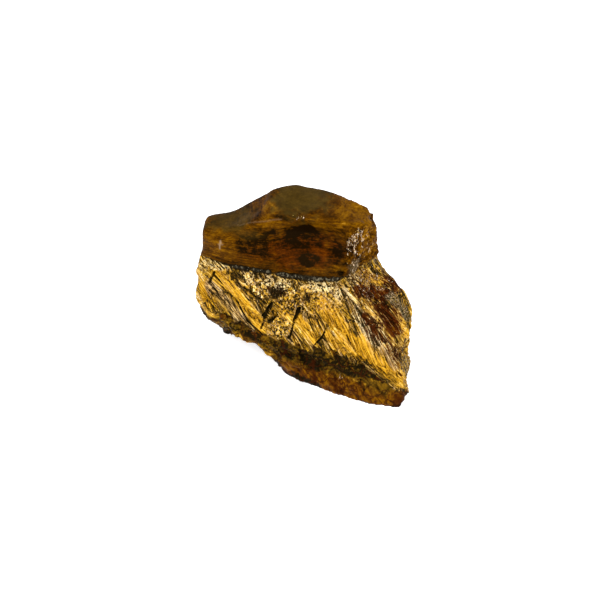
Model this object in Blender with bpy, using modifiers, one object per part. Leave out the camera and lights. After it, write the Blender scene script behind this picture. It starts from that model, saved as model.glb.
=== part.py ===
"""Rough tiger's eye: one broken piece of a tiger's eye seam, resting on its flat fracture base.

The stone is one solid. Its brown cap stands on a band of slanting fibres, set back by a small ledge,
and a dark base lies under the fibres. All sizes are in millimetres and are turned to metres where
Blender needs them. While the stone is shaped, X runs to the right of its front, Y to its back and Z
up from the base; at the end the origin is put under the middle of its box.
"""

import math

import bmesh
import bpy
from mathutils import Euler, Matrix, Vector, noise
from mathutils.bvhtree import BVHTree
from mathutils.geometry import intersect_point_line

MM = 0.001

# Layers
SEAM_HEIGHT = 24.0          # the blue-grey parting between the brown cap and the fibres
BAND_FOOT_HEIGHT = 10.2     # lower limit of the fibres below the middle of the stone
BAND_FOOT_SLOPE = -0.2      # it falls this much for each millimetre to the right
LAYER_BLEND = 1.2           # the thickness over which one layer's surface turns into the next

# The direction of the fibres (to the right, forwards and down), and the face that shows them best
FIBRE_DIRECTION = Vector((0.665, -0.590, -0.458)).normalized()
BAND_FACE_NORMAL = Vector((-0.23, -0.74, 0.62)).normalized()

# Splinters: bundles of fibres that broke off at different lengths
SPLINTER_LENGTH = 15.0
SPLINTER_WIDTH = 2.6
SPLINTER_STEP = 0.9         # height difference between neighbouring bundles
SPLINTER_GROOVE = 0.35      # depth of the gap between them
GROOVE_SHARE = 0.22         # how much of a bundle's width the gap takes up

# Hackle: sharp little steps where the stone broke across the grain
HACKLE_SIZE = 1.9
HACKLE_STEP = 0.9
SHORT_FIBRES = 5.0          # under the seam the fibres are broken short over this height
LUMP_SIZE = 9.0
LUMP_HEIGHT = 0.6
CHIP_SIZE = 3.5             # hollows and knobs of the dark base
CHIP_HEIGHT = 0.8
WAX_SIZE = 4.0              # slow waves of the cap's smooth faces
WAX_HEIGHT = 0.35
CHIPPED_EDGE = (Vector((10.2, 0.6, 22.0)), Vector((15.4, 4.0, 37.2)))  # the cap's front right edge
CELL_SHUFFLE = 37.0         # spreads the cells' centres before a height is drawn for each

# Corners of the brown cap
CAP_FOOT = [
    (-25.4, 11.2, 22.0), (-15.0, 6.2, 22.0), (-5.0, 3.0, 22.0), (10.2, 0.6, 22.0),
    (19.2, 11.6, 22.0), (17.0, 19.0, 22.0), (0.0, 22.0, 22.0), (-22.0, 19.5, 22.0),
]
CAP_TOP = [
    (-24.9, 9.6, 32.4), (-23.6, 15.8, 33.2), (-12.5, 18.6, 36.2), (-7.8, 19.9, 38.6),
    (-1.3, 18.8, 40.8), (6.0, 17.9, 39.8), (12.3, 14.8, 38.0), (17.0, 13.2, 37.2),
    (19.1, 10.0, 35.2), (15.4, 4.0, 37.2), (7.0, 4.4, 38.4), (0.0, 5.6, 38.6),
]

# Corners of the fibre band with the base under it
BAND_TOP = [
    (-26.2, 9.6, 23.4), (-15.0, 4.4, 23.4), (-5.0, 1.4, 23.4), (10.9, -1.6, 23.4),
    (19.3, 10.8, 23.2), (17.5, 20.0, 23.6), (-4.0, 23.5, 23.6), (-22.8, 20.5, 23.6),
]
BAND_FOOT = [
    (-27.0, 3.7, 15.8), (-19.6, -1.2, 13.2), (-9.5, -5.2, 11.2), (0.0, -8.8, 10.2),
    (11.1, -13.5, 8.5), (18.4, -17.1, 6.4), (24.5, -19.4, 5.0),
]
RIGHT_SIDE = [
    (28.7, 4.1, 12.2), (28.0, -3.7, 8.0), (28.3, -6.4, 5.0), (27.4, -12.0, 3.0), (25.4, -20.3, 0.5),
]
BACK = [
    (23.5, 13.0, 13.0), (6.0, 25.5, 13.0), (-8.0, 26.0, 12.0), (-21.0, 20.5, 12.0), (-26.0, 12.0, 12.0),
]
BASE = [
    (-23.5, 7.6, 6.2), (-15.2, 2.6, 2.4), (-9.5, 3.0, 0.4), (-6.7, 0.3, -1.0), (-2.0, -8.0, -1.0),
    (8.2, -14.8, -1.0), (16.8, -19.2, -1.0), (23.3, -20.9, -1.0), (25.0, -8.0, -1.0), (23.0, 8.0, -1.0),
    (15.0, 18.0, -1.0), (-8.0, 20.5, -1.0), (-17.0, 15.5, -1.0),
]

# Scars where shells and splinters broke away: name, centre, half sizes, turn about X, Y and Z in degrees
SCARS = [
    ("front_scoop", (-4.0, -5.5, 35.5), (21.0, 12.0, 11.5), (0, 0, -12)),
    ("front_bowl", (2.5, -4.2, 32.0), (15.0, 12.4, 9.6), (0, 8, -8)),
    ("crown_saddle", (-21.8, 14.0, 53.9), (20.9, 40.0, 20.9), (0, 0, -6)),
    ("left_hollow", (-17.0, -4.6, -3.6), (13.5, 12.0, 12.0), (0, 0, 0)),
    ("under_band_groove", (2.6, -13.8, 6.4), (12.5, 3.8, 2.8), (0, 10, -24)),
    ("right_trough", (23.2, -0.6, 19.6), (13.0, 4.8, 4.8), (0, 32, -42)),
    ("right_shoulder", (36.4, 12.8, 26.0), (15.0, 15.0, 15.0), (0, 0, 0)),
    ("right_notch", (29.2, -5.6, 7.0), (1.9, 2.6, 1.3), (0, 0, 0)),
    ("back_crown_shell", (-12.0, 33.6, 28.0), (24.0, 16.0, 12.0), (0, 14, 6)),
    ("back_corner_shell", (19.0, 27.5, 31.0), (15.0, 12.0, 12.0), (0, -24, 12)),
    ("back_band_shell", (8.0, 36.0, 16.0), (18.0, 14.4, 8.0), (0, -10, 8)),
    ("back_foot_shell", (-16.0, 30.0, 2.0), (15.0, 13.0, 10.0), (0, 0, 20)),
    ("left_end_shell", (-37.0, 22.0, 14.0), (13.0, 11.0, 10.0), (0, 20, 0)),
]

# Cracks across the fibres: name, upper end, lower end, half width, half depth
CRACKS = [
    ("wide_crack", (-5.6, -1.0, 18.8), (-8.8, -4.0, 13.6), 0.6, 2.8),
    ("short_crack", (-4.4, -2.4, 17.6), (-7.6, -5.2, 13.0), 0.45, 2.8),
    ("long_crack", (1.2, -1.4, 20.8), (-1.4, -7.0, 13.4), 0.5, 2.8),
    ("lower_crack", (6.6, -8.0, 15.2), (3.6, -11.8, 9.4), 0.5, 2.8),
]

VOXEL = 0.5                # grid of the shaped surface
ALL_PASSES = 2              # smoothing passes over the whole stone
CAP_PASSES = 4              # further passes over the cap
UNFOLDING_ROUNDS = 12
TRIANGLES = 9500            # before the underside is cut flat
UNDERSIDE_FADE = (-0.6, 1.2)  # the relief grows between these heights, so the underside is flat
SNAP_HEIGHT = 0.25          # corners this near the flat underside are put on it
SHARP_ANGLE = 35


def clear_scene():
    for obj in list(bpy.data.objects):
        bpy.data.objects.remove(obj)


def add_object(name, mesh, collection):
    obj = bpy.data.objects.new(name, mesh)
    collection.objects.link(obj)
    return obj


def hull_block(name, corners, collection):
    """A block with flat fracture faces: the convex hull of its corners."""
    shape = bmesh.new()
    for corner in corners:
        shape.verts.new(Vector(corner) * MM)
    hull = bmesh.ops.convex_hull(shape, input=shape.verts)
    loose = {e for e in hull["geom_interior"] + hull["geom_unused"] if isinstance(e, bmesh.types.BMVert)}
    bmesh.ops.delete(shape, geom=list(loose), context="VERTS")
    bmesh.ops.recalc_face_normals(shape, faces=shape.faces)
    mesh = bpy.data.meshes.new(name)
    shape.to_mesh(mesh)
    shape.free()
    return add_object(name, mesh, collection)


def ellipsoid(name, centre, turn, half_sizes, collection):
    place = Matrix.Translation(centre * MM) @ turn.to_4x4() @ Matrix.Diagonal((*(half_sizes * MM), 1.0))
    shape = bmesh.new()
    bmesh.ops.create_uvsphere(shape, u_segments=48, v_segments=24, radius=1.0, matrix=place)
    bmesh.ops.recalc_face_normals(shape, faces=shape.faces)
    mesh = bpy.data.meshes.new(name)
    shape.to_mesh(mesh)
    shape.free()
    return add_object(name, mesh, collection)


def scar_cutter(name, centre, half_sizes, turn, collection):
    """An ellipsoid whose inside is chipped away."""
    turned = Euler([math.radians(angle) for angle in turn]).to_matrix()
    return ellipsoid(name, Vector(centre), turned, Vector(half_sizes), collection)


def crack_cutter(name, upper, lower, half_width, half_depth, collection):
    """A thin lens that runs between two points of the band's face and opens a crack there."""
    run = Vector(upper) - Vector(lower)
    side = run.cross(BAND_FACE_NORMAL).normalized()
    turned = Matrix((run.normalized(), side, BAND_FACE_NORMAL)).transposed()
    middle = (Vector(upper) + Vector(lower)) / 2
    return ellipsoid(name, middle, turned, Vector((run.length / 2, half_width, half_depth)), collection)


def add_boolean(target, tool, operation):
    modifier = target.modifiers.new(tool.name, "BOOLEAN")
    modifier.operation = operation
    modifier.solver = "EXACT"
    modifier.object = tool


def add_remesh(target):
    modifier = target.modifiers.new("grid", "REMESH")
    modifier.mode = "VOXEL"
    modifier.voxel_size = VOXEL * MM


def apply_modifiers(obj):
    """Puts what the modifiers make into the object's own mesh."""
    bpy.context.view_layer.update()
    graph = bpy.context.evaluated_depsgraph_get()
    made = bpy.data.meshes.new_from_object(obj.evaluated_get(graph))
    obj.modifiers.clear()
    obj.data = made


def smooth_step(low, high, value):
    share = min(1.0, max(0.0, (value - low) / (high - low)))
    return share * share * (3 - 2 * share)


def layer_shares(point):
    """How much of a surface point is cap, fibres and base; the three add up to 1."""
    foot = BAND_FOOT_HEIGHT + BAND_FOOT_SLOPE * point.x
    cap = smooth_step(SEAM_HEIGHT - LAYER_BLEND / 2, SEAM_HEIGHT + LAYER_BLEND / 2, point.z)
    above_foot = smooth_step(foot - LAYER_BLEND / 2, foot + LAYER_BLEND / 2, point.z)
    return cap, above_foot * (1 - cap), 1 - above_foot


def fibre_space(point):
    """The point in a frame that turns with the fibres: along them, across them and into the stone."""
    across = BAND_FACE_NORMAL.cross(FIBRE_DIRECTION).normalized()
    return Vector((point.dot(FIBRE_DIRECTION), point.dot(across), point.dot(BAND_FACE_NORMAL)))


def splinters(point):
    """Bundles of fibres as long cells that stand at different heights, with a narrow gap between them."""
    along, across, depth = fibre_space(point)
    bend = 0.25 * noise.noise(point / 7.0)
    cell = Vector((along / SPLINTER_LENGTH, across / SPLINTER_WIDTH + bend, depth / SPLINTER_WIDTH))
    distances, centres = noise.voronoi(cell)
    height = noise.cell(centres[0] * CELL_SHUFFLE) - 0.5
    gap = 1 - smooth_step(0.0, GROOVE_SHARE, distances[1] - distances[0])
    return SPLINTER_STEP * height - SPLINTER_GROOVE * gap


def hackle(point):
    """Sharp little steps where the fibres are broken short."""
    centres = noise.voronoi(point / HACKLE_SIZE)[1]
    step = noise.cell(centres[0] * CELL_SHUFFLE) - 0.5
    return HACKLE_STEP * (step + 0.45 * noise.noise(point / HACKLE_SIZE * 1.25))


def relief(point):
    """How far the broken surface stands proud of its flat faces at a point, in millimetres."""
    cap, band, base = layer_shares(point)
    steps = hackle(point)
    edge = intersect_point_line(point, *CHIPPED_EDGE)[0]
    chipped = 1 - smooth_step(2.0, 6.0, (point - edge).length)
    wax = WAX_HEIGHT * noise.noise(point / WAX_SIZE) + 0.35 * chipped * steps
    short = 1 - smooth_step(0.3 * SHORT_FIBRES, SHORT_FIBRES, SEAM_HEIGHT - point.z)
    fibres = splinters(point) * (1 - 0.7 * short) + 0.8 * short * steps
    chips = CHIP_HEIGHT * noise.noise(point / CHIP_SIZE) + 0.45 * steps
    lumps = LUMP_HEIGHT * noise.noise(point / LUMP_SIZE)
    return smooth_step(*UNDERSIDE_FADE, point.z) * (lumps + cap * wax + band * fibres + base * chips)


def soften(mesh):
    """Takes the sharpness off all the edges, and more off those of the waxy cap."""
    shape = bmesh.new()
    shape.from_mesh(mesh)
    cap = [v for v in shape.verts if v.co.z > (SEAM_HEIGHT + LAYER_BLEND) * MM]
    for part in [shape.verts[:]] * ALL_PASSES + [cap] * CAP_PASSES:
        bmesh.ops.smooth_vert(shape, verts=part, factor=0.5, use_axis_x=True, use_axis_y=True, use_axis_z=True)
    shape.to_mesh(mesh)
    shape.free()


def roughen(mesh):
    """Moves every vertex along its normal by the relief."""
    moves = [v.normal * relief(v.co / MM) * MM for v in mesh.vertices]
    for vertex, move in zip(mesh.vertices, moves):
        vertex.co += move
    mesh.update()


def folded_vertices(shape):
    """The vertices of faces that cut through each other."""
    tree = BVHTree.FromBMesh(shape, epsilon=0.0)
    shape.faces.ensure_lookup_table()
    found = set()
    for one, other in tree.overlap(tree):
        first = set(shape.faces[one].verts)
        second = set(shape.faces[other].verts)
        if not first & second:
            found |= first | second
    return sorted(found, key=lambda v: v.index)


def unfold(mesh):
    """Smooths the few places where neighbouring chips were pushed through each other."""
    shape = bmesh.new()
    shape.from_mesh(mesh)
    for _ in range(UNFOLDING_ROUNDS):
        folded = folded_vertices(shape)
        if not folded:
            break
        around = {v for f in folded for e in f.link_edges for v in e.verts}
        near = sorted(around, key=lambda v: v.index)
        bmesh.ops.smooth_vert(shape, verts=near, factor=0.5, use_axis_x=True, use_axis_y=True, use_axis_z=True)
    shape.to_mesh(mesh)
    shape.free()


def reduce_triangles(obj):
    count = sum(len(p.vertices) - 2 for p in obj.data.polygons)
    modifier = obj.modifiers.new("fewer", "DECIMATE")
    modifier.ratio = min(1.0, TRIANGLES / count)
    modifier.use_collapse_triangulate = True


def cut_flat_base(mesh):
    """Cuts the stone flat at height 0, where it rests."""
    shape = bmesh.new()
    shape.from_mesh(mesh)
    for vertex in shape.verts:
        if abs(vertex.co.z) < SNAP_HEIGHT * MM:
            vertex.co.z = 0.0
    geometry = shape.verts[:] + shape.edges[:] + shape.faces[:]
    bmesh.ops.bisect_plane(
        shape, geom=geometry, dist=1e-7, plane_co=(0, 0, 0), plane_no=(0, 0, 1), clear_inner=True
    )
    rim = [e for e in shape.edges if e.is_boundary]
    bmesh.ops.contextual_create(shape, geom=rim)
    bmesh.ops.triangulate(shape, faces=shape.faces)
    bmesh.ops.recalc_face_normals(shape, faces=shape.faces)
    shape.to_mesh(mesh)
    shape.free()


def centre_on_base(mesh):
    """Puts the origin under the middle of the stone's box."""
    xs = [v.co.x for v in mesh.vertices]
    ys = [v.co.y for v in mesh.vertices]
    middle = Vector(((min(xs) + max(xs)) / 2, (min(ys) + max(ys)) / 2, 0.0))
    mesh.transform(Matrix.Translation(-middle))


def stone_material():
    material = bpy.data.materials.new("tigers_eye")
    material.use_nodes = True
    shader = material.node_tree.nodes["Principled BSDF"]
    shader.inputs["Base Color"].default_value = (0.42, 0.23, 0.045, 1.0)
    shader.inputs["Roughness"].default_value = 0.35
    shader.inputs["Metallic"].default_value = 0.0
    return material


def new_collection(name):
    collection = bpy.data.collections.new(name)
    bpy.context.scene.collection.children.link(collection)
    return collection


def broken_block():
    """The stone with its flat faces, scars and cracks, before its surface is roughened."""
    stone_collection = new_collection("rough_tigers_eye")
    cutters = new_collection("cutters")
    stone = hull_block("tigers_eye", BAND_TOP + BAND_FOOT + RIGHT_SIDE + BACK + BASE, stone_collection)
    add_boolean(stone, hull_block("cap_block", CAP_FOOT + CAP_TOP, cutters), "UNION")
    for scar in SCARS:
        add_boolean(stone, scar_cutter(*scar, cutters), "DIFFERENCE")
    for crack in CRACKS:
        add_boolean(stone, crack_cutter(*crack, cutters), "DIFFERENCE")
    for tool in cutters.objects:
        tool.hide_render = True
        tool.display_type = "WIRE"
    add_remesh(stone)
    apply_modifiers(stone)
    return stone


def main():
    clear_scene()
    stone = broken_block()
    soften(stone.data)
    roughen(stone.data)
    reduce_triangles(stone)
    apply_modifiers(stone)
    unfold(stone.data)
    cut_flat_base(stone.data)
    centre_on_base(stone.data)
    stone.data.materials.append(stone_material())
    stone.data.shade_smooth()
    stone.data.set_sharp_from_angle(angle=math.radians(SHARP_ANGLE))


main()
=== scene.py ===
"""Rough tiger's eye: the surface, colours and studio of the stone, laid out as an add-on.

The stone's solid comes packed as the frame. A finer skin is laid over it, broken into fibres, grains and
chips, and marked with what each point of it is made of. One material then colours it from those marks.
Lengths in the tables below are millimetres in the frame of the solid: X to the right, Y to the back, Z up.
"""

import functools
import math

import bmesh
import bpy
import numpy as np
from bpy.props import FloatProperty, FloatVectorProperty, PointerProperty
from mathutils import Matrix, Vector, noise


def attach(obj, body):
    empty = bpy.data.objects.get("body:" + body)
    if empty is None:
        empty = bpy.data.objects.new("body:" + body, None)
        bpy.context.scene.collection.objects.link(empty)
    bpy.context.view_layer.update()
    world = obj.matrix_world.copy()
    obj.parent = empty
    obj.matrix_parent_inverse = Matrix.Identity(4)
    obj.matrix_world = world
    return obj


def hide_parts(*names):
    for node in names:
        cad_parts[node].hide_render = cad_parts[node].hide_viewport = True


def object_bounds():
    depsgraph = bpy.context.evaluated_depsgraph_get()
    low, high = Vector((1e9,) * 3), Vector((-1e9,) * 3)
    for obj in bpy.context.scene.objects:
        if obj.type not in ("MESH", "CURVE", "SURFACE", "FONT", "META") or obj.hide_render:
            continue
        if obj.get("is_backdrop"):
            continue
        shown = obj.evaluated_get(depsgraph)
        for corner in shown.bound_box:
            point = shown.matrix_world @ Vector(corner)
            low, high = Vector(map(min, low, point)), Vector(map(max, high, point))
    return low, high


bl_info = {
    "name": "Rough tiger's eye",
    "version": (1, 0, 0),
    "blender": (4, 5, 0),
    "location": "3D View > Sidebar > Stone",
    "description": "Builds the surface and the studio of a rough piece of tiger's eye",
    "category": "Object",
}

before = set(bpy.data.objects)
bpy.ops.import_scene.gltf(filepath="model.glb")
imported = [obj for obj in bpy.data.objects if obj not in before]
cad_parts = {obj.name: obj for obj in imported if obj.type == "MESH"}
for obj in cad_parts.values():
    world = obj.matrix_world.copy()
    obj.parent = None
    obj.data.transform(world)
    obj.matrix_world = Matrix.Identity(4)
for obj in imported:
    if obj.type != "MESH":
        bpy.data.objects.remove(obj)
CAD_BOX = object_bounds()

MM = 0.001
NODE = "tigers_eye"
BODY = "root"
PIECE = "rough_stone"

# The parting under the brown cap, along the front: points on its middle, then X and the half width there
SEAM_LINE = (
    (-25.6, 7.9, 24.5), (-22.8, 6.9, 23.8), (-20.0, 5.4, 23.6), (-17.4, 4.3, 23.6), (-14.6, 3.4, 23.7),
    (-12.1, 2.5, 23.8), (-9.1, 2.0, 23.5), (-6.1, 1.2, 23.3), (-3.1, 0.3, 23.3), (-0.1, -0.6, 23.3),
    (2.9, -1.1, 23.3), (5.9, -1.5, 23.5), (8.4, -1.3, 23.5), (9.6, -1.1, 23.9), (11.4, 0.2, 23.6),
    (12.4, 1.6, 23.8), (14.5, 4.6, 24.0), (16.9, 6.6, 24.4),
)
SEAM_WIDTH = ((-26.0, 0.12), (-20.0, 0.25), (-17.0, 0.6), (4.0, 0.64), (8.0, 0.5), (9.6, 0.3), (10.5, 0.0))
SEAM_HEIGHT = 23.6          # of the parting round the back
SEAM_LEAN = 0.45            # how much the parting drops from the back to the front of a ledge

# The cap is smooth above its foot and broken rough at its right end, apart from its top face
CAP_FOOT = SEAM_HEIGHT + 1.6
CAP_ROUGH_FROM = 9.0
CAP_TOP_HEIGHTS = (31.0, 34.0)
LEAST_BLUR = 0.12           # of the cap's lower edge

# Where along X something begins and is full: the cap's rough colour, its facets and the blur of its lower
# edge, and the chips and fibres of the left end
ROUGH_RISE = (CAP_ROUGH_FROM, 12.5)
FACET_RISE = (8.0, 11.0)
BLUR_RISE = (CAP_ROUGH_FROM, 12.0)
CHIP_RISE = (-26.0, -20.0)
FIBRE_RISE = (-27.0, -23.0)

# The finer part of the skin: what it faces, how squarely at least, and from which height up to which
FRONT = Vector((0.15, -0.8, 0.58)).normalized()
FRONT_LEAST = 0.1
FRONT_HEIGHTS = (4.0, SEAM_HEIGHT + 1.5)

STAND_HEIGHT = 0.6          # below this the flat underside isn't softened
SOFTENING = 2               # passes over the skin, which round the solid's facets off
CAP_SOFTENING = 10          # passes over the smooth part of the cap
FULL_BEND = 0.09            # of a point out of its neighbours' middle, where a hollow or ridge is full

# The lower limit of the fibres: X and height in front, and the even slope that it has at the back
FOOT_LINE = (
    (-28.0, 14.2), (-23.0, 13.5), (-19.7, 13.6), (-14.9, 12.6), (-10.6, 11.0), (-3.6, 10.6), (3.1, 9.8),
    (9.3, 9.1), (12.7, 8.4), (16.6, 7.8), (19.6, 6.6), (22.7, 4.6), (24.5, 2.4), (28.0, 1.5),
)
FOOT_HEIGHT = 10.2
FOOT_SLOPE = -0.2
FOOT_FINGERS = 2.0          # how far the fibres' ends reach over and under that limit

# The bundles of fibres in the solid: their direction, and the origin that their cells are counted from
FIBRE_DIRECTION = Vector((0.665, -0.590, -0.458)).normalized()
BAND_FACE_NORMAL = Vector((-0.23, -0.74, 0.62)).normalized()
BUNDLE_ORIGIN = Vector((1.0737, 2.5930, 0.0))
BUNDLE_BEND = 0.25          # how far the bundles sway, as a share of their width
BUNDLE_BEND_SIZE = 7.0
CELL_SHUFFLE = 37.0         # the centre of a cell times this draws the cell's number

LARGE_FACET = 3.6
SMALL_FACET = 1.7

# The place that the camera looks at
CAMERA_AIM = Vector((-BUNDLE_ORIGIN.x, -BUNDLE_ORIGIN.y, 18.0))

# Cracks: half width, depth, then the points along each
CRACKS = (
    (0.22, 0.8, (-22.8, 3.7, 21.6), (-16.9, -1.1, 16.9), (-14.6, -4.3, 13.3), (-10.6, -7.5, 11.0)),
    (0.40, 0.9, (-22.7, 4.1, 22.0), (-23.4, 3.2, 21.0), (-24.0, 2.4, 20.0)),
    (0.30, 0.7, (-15.1, -0.2, 20.3), (-12.4, -1.9, 18.8), (-9.6, -3.4, 17.3)),
    (0.65, 1.5, (-8.3, -3.8, 17.6), (-10.1, -5.2, 14.9)),
    (0.28, 0.8, (-10.1, -5.2, 14.9), (-10.8, -6.3, 12.1)),
    (0.58, 1.4, (-7.1, -4.7, 15.4), (-9.2, -6.6, 13.7)),
    (0.45, 1.3, (-1.3, -5.1, 17.0), (-2.6, -7.5, 14.8)),
    (0.32, 0.9, (-2.6, -7.5, 14.8), (-3.6, -8.9, 11.1)),
    (0.24, 0.9, (5.2, -9.3, 13.4), (4.2, -10.6, 12.1), (2.6, -11.8, 11.0)),
    (0.16, 0.5, (4.4, -10.4, 12.3), (5.6, -11.2, 11.2)),
    (0.6, 1.2, (8.6, -0.5, 24.9), (9.4, -0.7, 24.8)),
)

# Where the skin is drawn out of the solid, or pressed into it: centre, radius, shift
PULLS = (
    ((24.0, 3.3, 15.6), 4.5, (0.7, 0.2, 0.7)),
    ((17.6, 6.5, 29.6), 3.6, (0.8, 0.0, 0.0)),
    ((-15.4, -6.0, 8.8), 2.6, (-0.1, -0.5, -0.8)),
    ((-9.6, -9.5, 7.2), 2.4, (0.3, 0.6, 0.7)),
    ((17.6, 7.5, 25.6), 2.6, (1.0, -0.2, 0.0)),
    ((17.1, 7.6, 35.0), 2.0, (-0.8, 0.0, -0.3)),
    ((17.4, -21.8, 1.2), 4.0, (0.0, -1.1, -0.5)),
    ((-24.2, -0.6, 12.2), 3.2, (-0.7, -0.5, -0.5)),
    ((26.1, -7.4, 6.4), 2.0, (-2.0, 0.4, -0.2)),
    ((-19.0, 0.9, 5.0), 2.4, (0.6, 0.8, 0.9)),
    ((22.0, 5.2, 19.0), 3.0, (0.4, 0.3, 0.4)),
    ((25.0, -18.5, 2.6), 3.0, (0.5, 0.0, 0.0)),
)

# Streaks of one stuff in another, by mark: strength, half width, then the points along each
STREAKS = {
    "gold": (  # fresh yellow fibres
        (1.0, 1.5, (-22.3, 4.0, 22.0), (-17.0, -0.3, 18.5), (-12.0, -4.6, 14.0)),
        (1.0, 1.0, (-13.6, -3.6, 14.6), (-11.0, -6.6, 11.8)),
        (1.0, 0.9, (-26.2, 3.6, 18.4), (-25.2, 1.6, 16.0), (-23.6, -0.2, 14.9)),
        (1.0, 2.1, (4.5, -5.6, 18.6), (9.5, -10.0, 14.0), (14.0, -14.4, 9.4)),
        (1.0, 1.9, (14.5, -11.8, 12.0), (17.4, -15.2, 9.0), (20.4, -17.6, 6.8)),
        (0.9, 1.2, (19.8, -12.6, 10.6), (22.6, -16.0, 7.2), (23.6, -19.4, 4.4)),
        (1.0, 0.8, (23.0, -1.8, 14.2), (24.8, -5.0, 12.0), (25.8, -6.6, 9.8)),
        (0.9, 1.0, (-1.6, -6.6, 15.6), (2.6, -10.8, 11.4)),
        (0.9, 1.0, (5.6, -10.4, 13.4), (9.6, -13.6, 10.4)),
        (0.9, 1.4, (14.0, 2.0, 23.2), (17.0, 2.8, 21.0), (19.0, 3.0, 19.8)),
        (0.7, 0.6, (16.6, -3.6, 17.6), (19.6, -6.4, 14.2), (22.0, -9.4, 11.2)),
        (0.9, 1.6, (-19.0, -3.6, 10.6), (-14.0, -7.0, 8.0), (-9.8, -9.6, 6.0)),
        (0.6, 1.6, (-24.6, -0.2, 13.0), (-22.0, -1.6, 11.6), (-18.6, -4.6, 9.4)),
    ),
    "pale": (  # weathered fibres
        (0.5, 1.3, (-24.0, 2.4, 19.4), (-19.6, -0.8, 16.6), (-16.0, -4.8, 12.8)),
        (0.6, 0.7, (-12.8, -6.4, 11.6), (-15.4, -3.6, 14.0)),
        (0.7, 1.1, (10.1, -4.2, 22.1), (11.8, -6.4, 19.2), (14.3, -8.6, 16.0), (16.7, -11.3, 13.2)),
        (0.6, 0.8, (16.7, -11.3, 13.2), (19.7, -13.5, 10.5), (22.4, -16.1, 6.9)),
        (0.5, 0.6, (-3.4, -8.2, 13.4), (-0.6, -10.4, 10.8)),
    ),
    "cream": (  # whitish ends of fibres, partly a painted highlight
        (0.9, 1.3, (12.8, -7.6, 17.2), (15.4, -10.0, 14.4), (17.6, -12.5, 11.8)),
        (0.6, 0.9, (16.8, -7.4, 15.6), (19.4, -10.6, 12.0), (22.6, -14.6, 8.2)),
    ),
    "rust": (  # red-brown stain
        (1.0, 2.1, (14.0, -2.8, 21.0), (16.8, -0.8, 19.2), (20.0, 0.6, 17.4)),
        (1.0, 1.9, (19.6, -1.4, 14.6), (21.3, -4.4, 12.5), (22.7, -6.4, 11.2)),
        (0.9, 1.2, (15.0, -7.8, 16.9), (17.3, -9.1, 14.1), (19.5, -11.2, 12.0)),
        (0.8, 0.5, (20.0, -9.4, 12.4), (21.2, -10.8, 11.2), (23.3, -13.5, 8.3)),
        (0.7, 0.35, (20.6, -12.2, 11.0), (22.8, -15.4, 7.8), (23.8, -17.6, 5.8)),
        (0.6, 0.35, (21.8, -7.4, 12.0), (24.2, -10.8, 8.8)),
        (1.0, 0.42, (2.2, -12.3, 6.2), (2.7, -13.6, 3.5), (2.9, -14.7, 0.8)),
        (1.0, 0.42, (6.1, -16.2, 3.9), (7.6, -17.6, 2.5), (8.1, -18.1, 0.7)),
    ),
    "grey": (  # grey crust
        (0.75, 1.0, (21.4, 0.4, 16.8), (23.2, -0.1, 15.3), (25.1, 0.3, 12.8), (26.3, -0.6, 11.0)),
    ),
    "shade": (  # painted shade over the fibres
        (0.9, 0.8, (13.5, -15.6, 9.6), (18.6, -18.8, 6.6), (23.7, -21.5, 3.8)),
    ),
    "void": (  # near-black painted shade in hollows, under overhangs and under the lip of the cap's top
        (0.9, 0.5, (24.6, -10.6, 8.7), (26.0, -9.4, 8.3)),
        (0.5, 0.55, (-16.0, -5.4, 10.6), (-10.6, -8.6, 9.4), (-3.6, -10.6, 8.6), (3.0, -12.4, 8.0)),
        (0.7, 0.9, (0.0, -12.0, 8.0), (9.3, -14.8, 7.2), (14.2, -17.2, 6.9), (19.0, -19.9, 6.0)),
        (0.5, 0.6, (-18.4, -3.6, 11.2), (-16.6, -4.8, 10.0)),
        (0.6, 0.7, (5.8, -15.6, 4.9), (10.5, -18.0, 5.0), (14.5, -19.4, 4.7)),
        (0.9, 0.5, (-2.1, -12.2, 1.3), (0.9, -14.2, 1.0)),
        (0.9, 0.5, (-3.9, 5.0, 33.9), (-1.1, 5.1, 34.4), (1.4, 4.9, 34.8)),
        (0.8, 0.5, (-2.3, 5.4, 32.8), (-2.1, 5.4, 30.6)),
    ),
    "sparkle": (  # painted glints of pinkish splinters
        (0.8, 1.4, (13.6, 1.8, 35.0), (12.4, 1.6, 33.1), (11.4, 1.2, 30.8)),
        (0.6, 1.5, (11.6, 1.2, 31.6), (11.6, 1.0, 27.4), (12.2, 1.6, 25.0)),
    ),
    "flecked": (  # golden flecks in the dark of the base
        (1.0, 3.0, (-10.0, -9.0, 8.5), (3.0, -12.8, 7.6), (14.2, -17.2, 6.6), (20.0, -20.3, 5.4)),
    ),
    "orange": (  # orange-brown rock
        (0.9, 1.5, (-4.8, -11.4, 4.9), (3.9, -14.9, 3.1), (11.3, -18.9, 3.0)),
        (1.0, 3.1, (7.0, -17.0, 2.8), (15.4, -20.0, 2.9), (21.2, -21.6, 3.0)),
    ),
    "sheen": (  # pale nicks on the cap, and a painted highlight along the lip of its top
        (0.14, 0.16, (-16.8, 6.6, 34.1), (-13.5, 5.8, 35.5), (-9.7, 5.0, 36.5), (-5.5, 4.5, 37.4)),
        (0.6, 0.16, (-20.8, 5.8, 30.4), (-21.0, 5.7, 29.2), (-21.1, 5.6, 27.9)),
        (0.3, 0.12, (-21.4, 5.8, 29.3), (-20.2, 5.6, 29.1)),
    ),
    "dark": (  # painted shade in the cap's hollow, under the lip of its top
        (0.9, 0.9, (-3.6, 5.2, 32.4), (-1.6, 5.1, 33.9), (1.6, 4.9, 34.6)),
        (0.6, 0.5, (-7.5, 5.0, 33.6), (-10.5, 5.0, 31.4)),
    ),
}

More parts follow.
